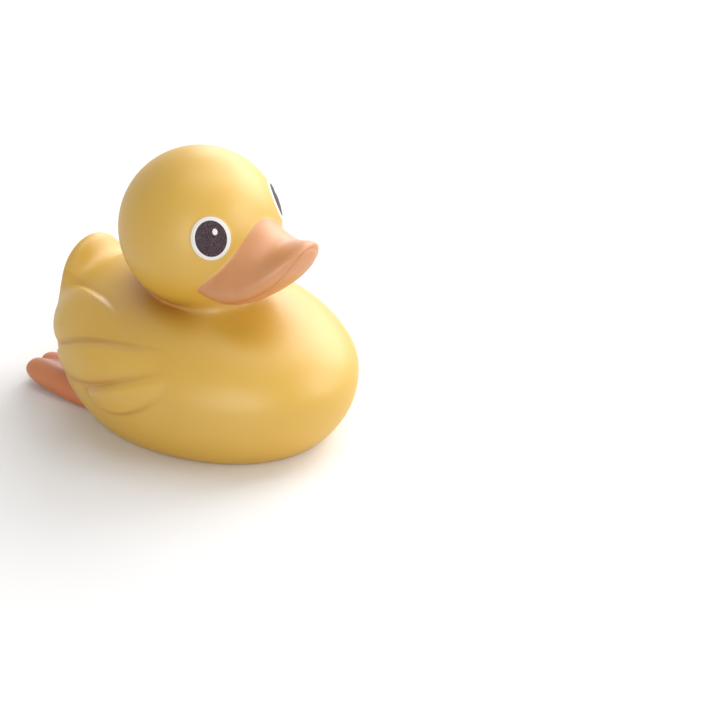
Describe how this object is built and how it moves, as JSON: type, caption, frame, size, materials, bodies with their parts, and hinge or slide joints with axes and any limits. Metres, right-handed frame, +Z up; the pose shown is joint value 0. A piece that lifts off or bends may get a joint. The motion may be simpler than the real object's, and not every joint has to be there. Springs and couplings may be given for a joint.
{
  "type": "rubber duck",
  "caption": "Bath duck cast in natural rubber: egg body on a flat belly, ball head, saddle bill, upturned tail, feathers in relief and webbed feet trailing behind.",
  "frame": {"origin": "on the flat underside, below the middle of the egg-shaped body", "axes": "+Z up, the duck looks towards -Y, its right side is towards -X"},
  "size_m": [0.0998, 0.1372, 0.1079],
  "materials": {
    "rubber": "matt natural rubber, with the bill, feet and eyes painted"
  },
  "bodies": {
    "root": {"duck": "rubber"}
  },
  "joints": []
}
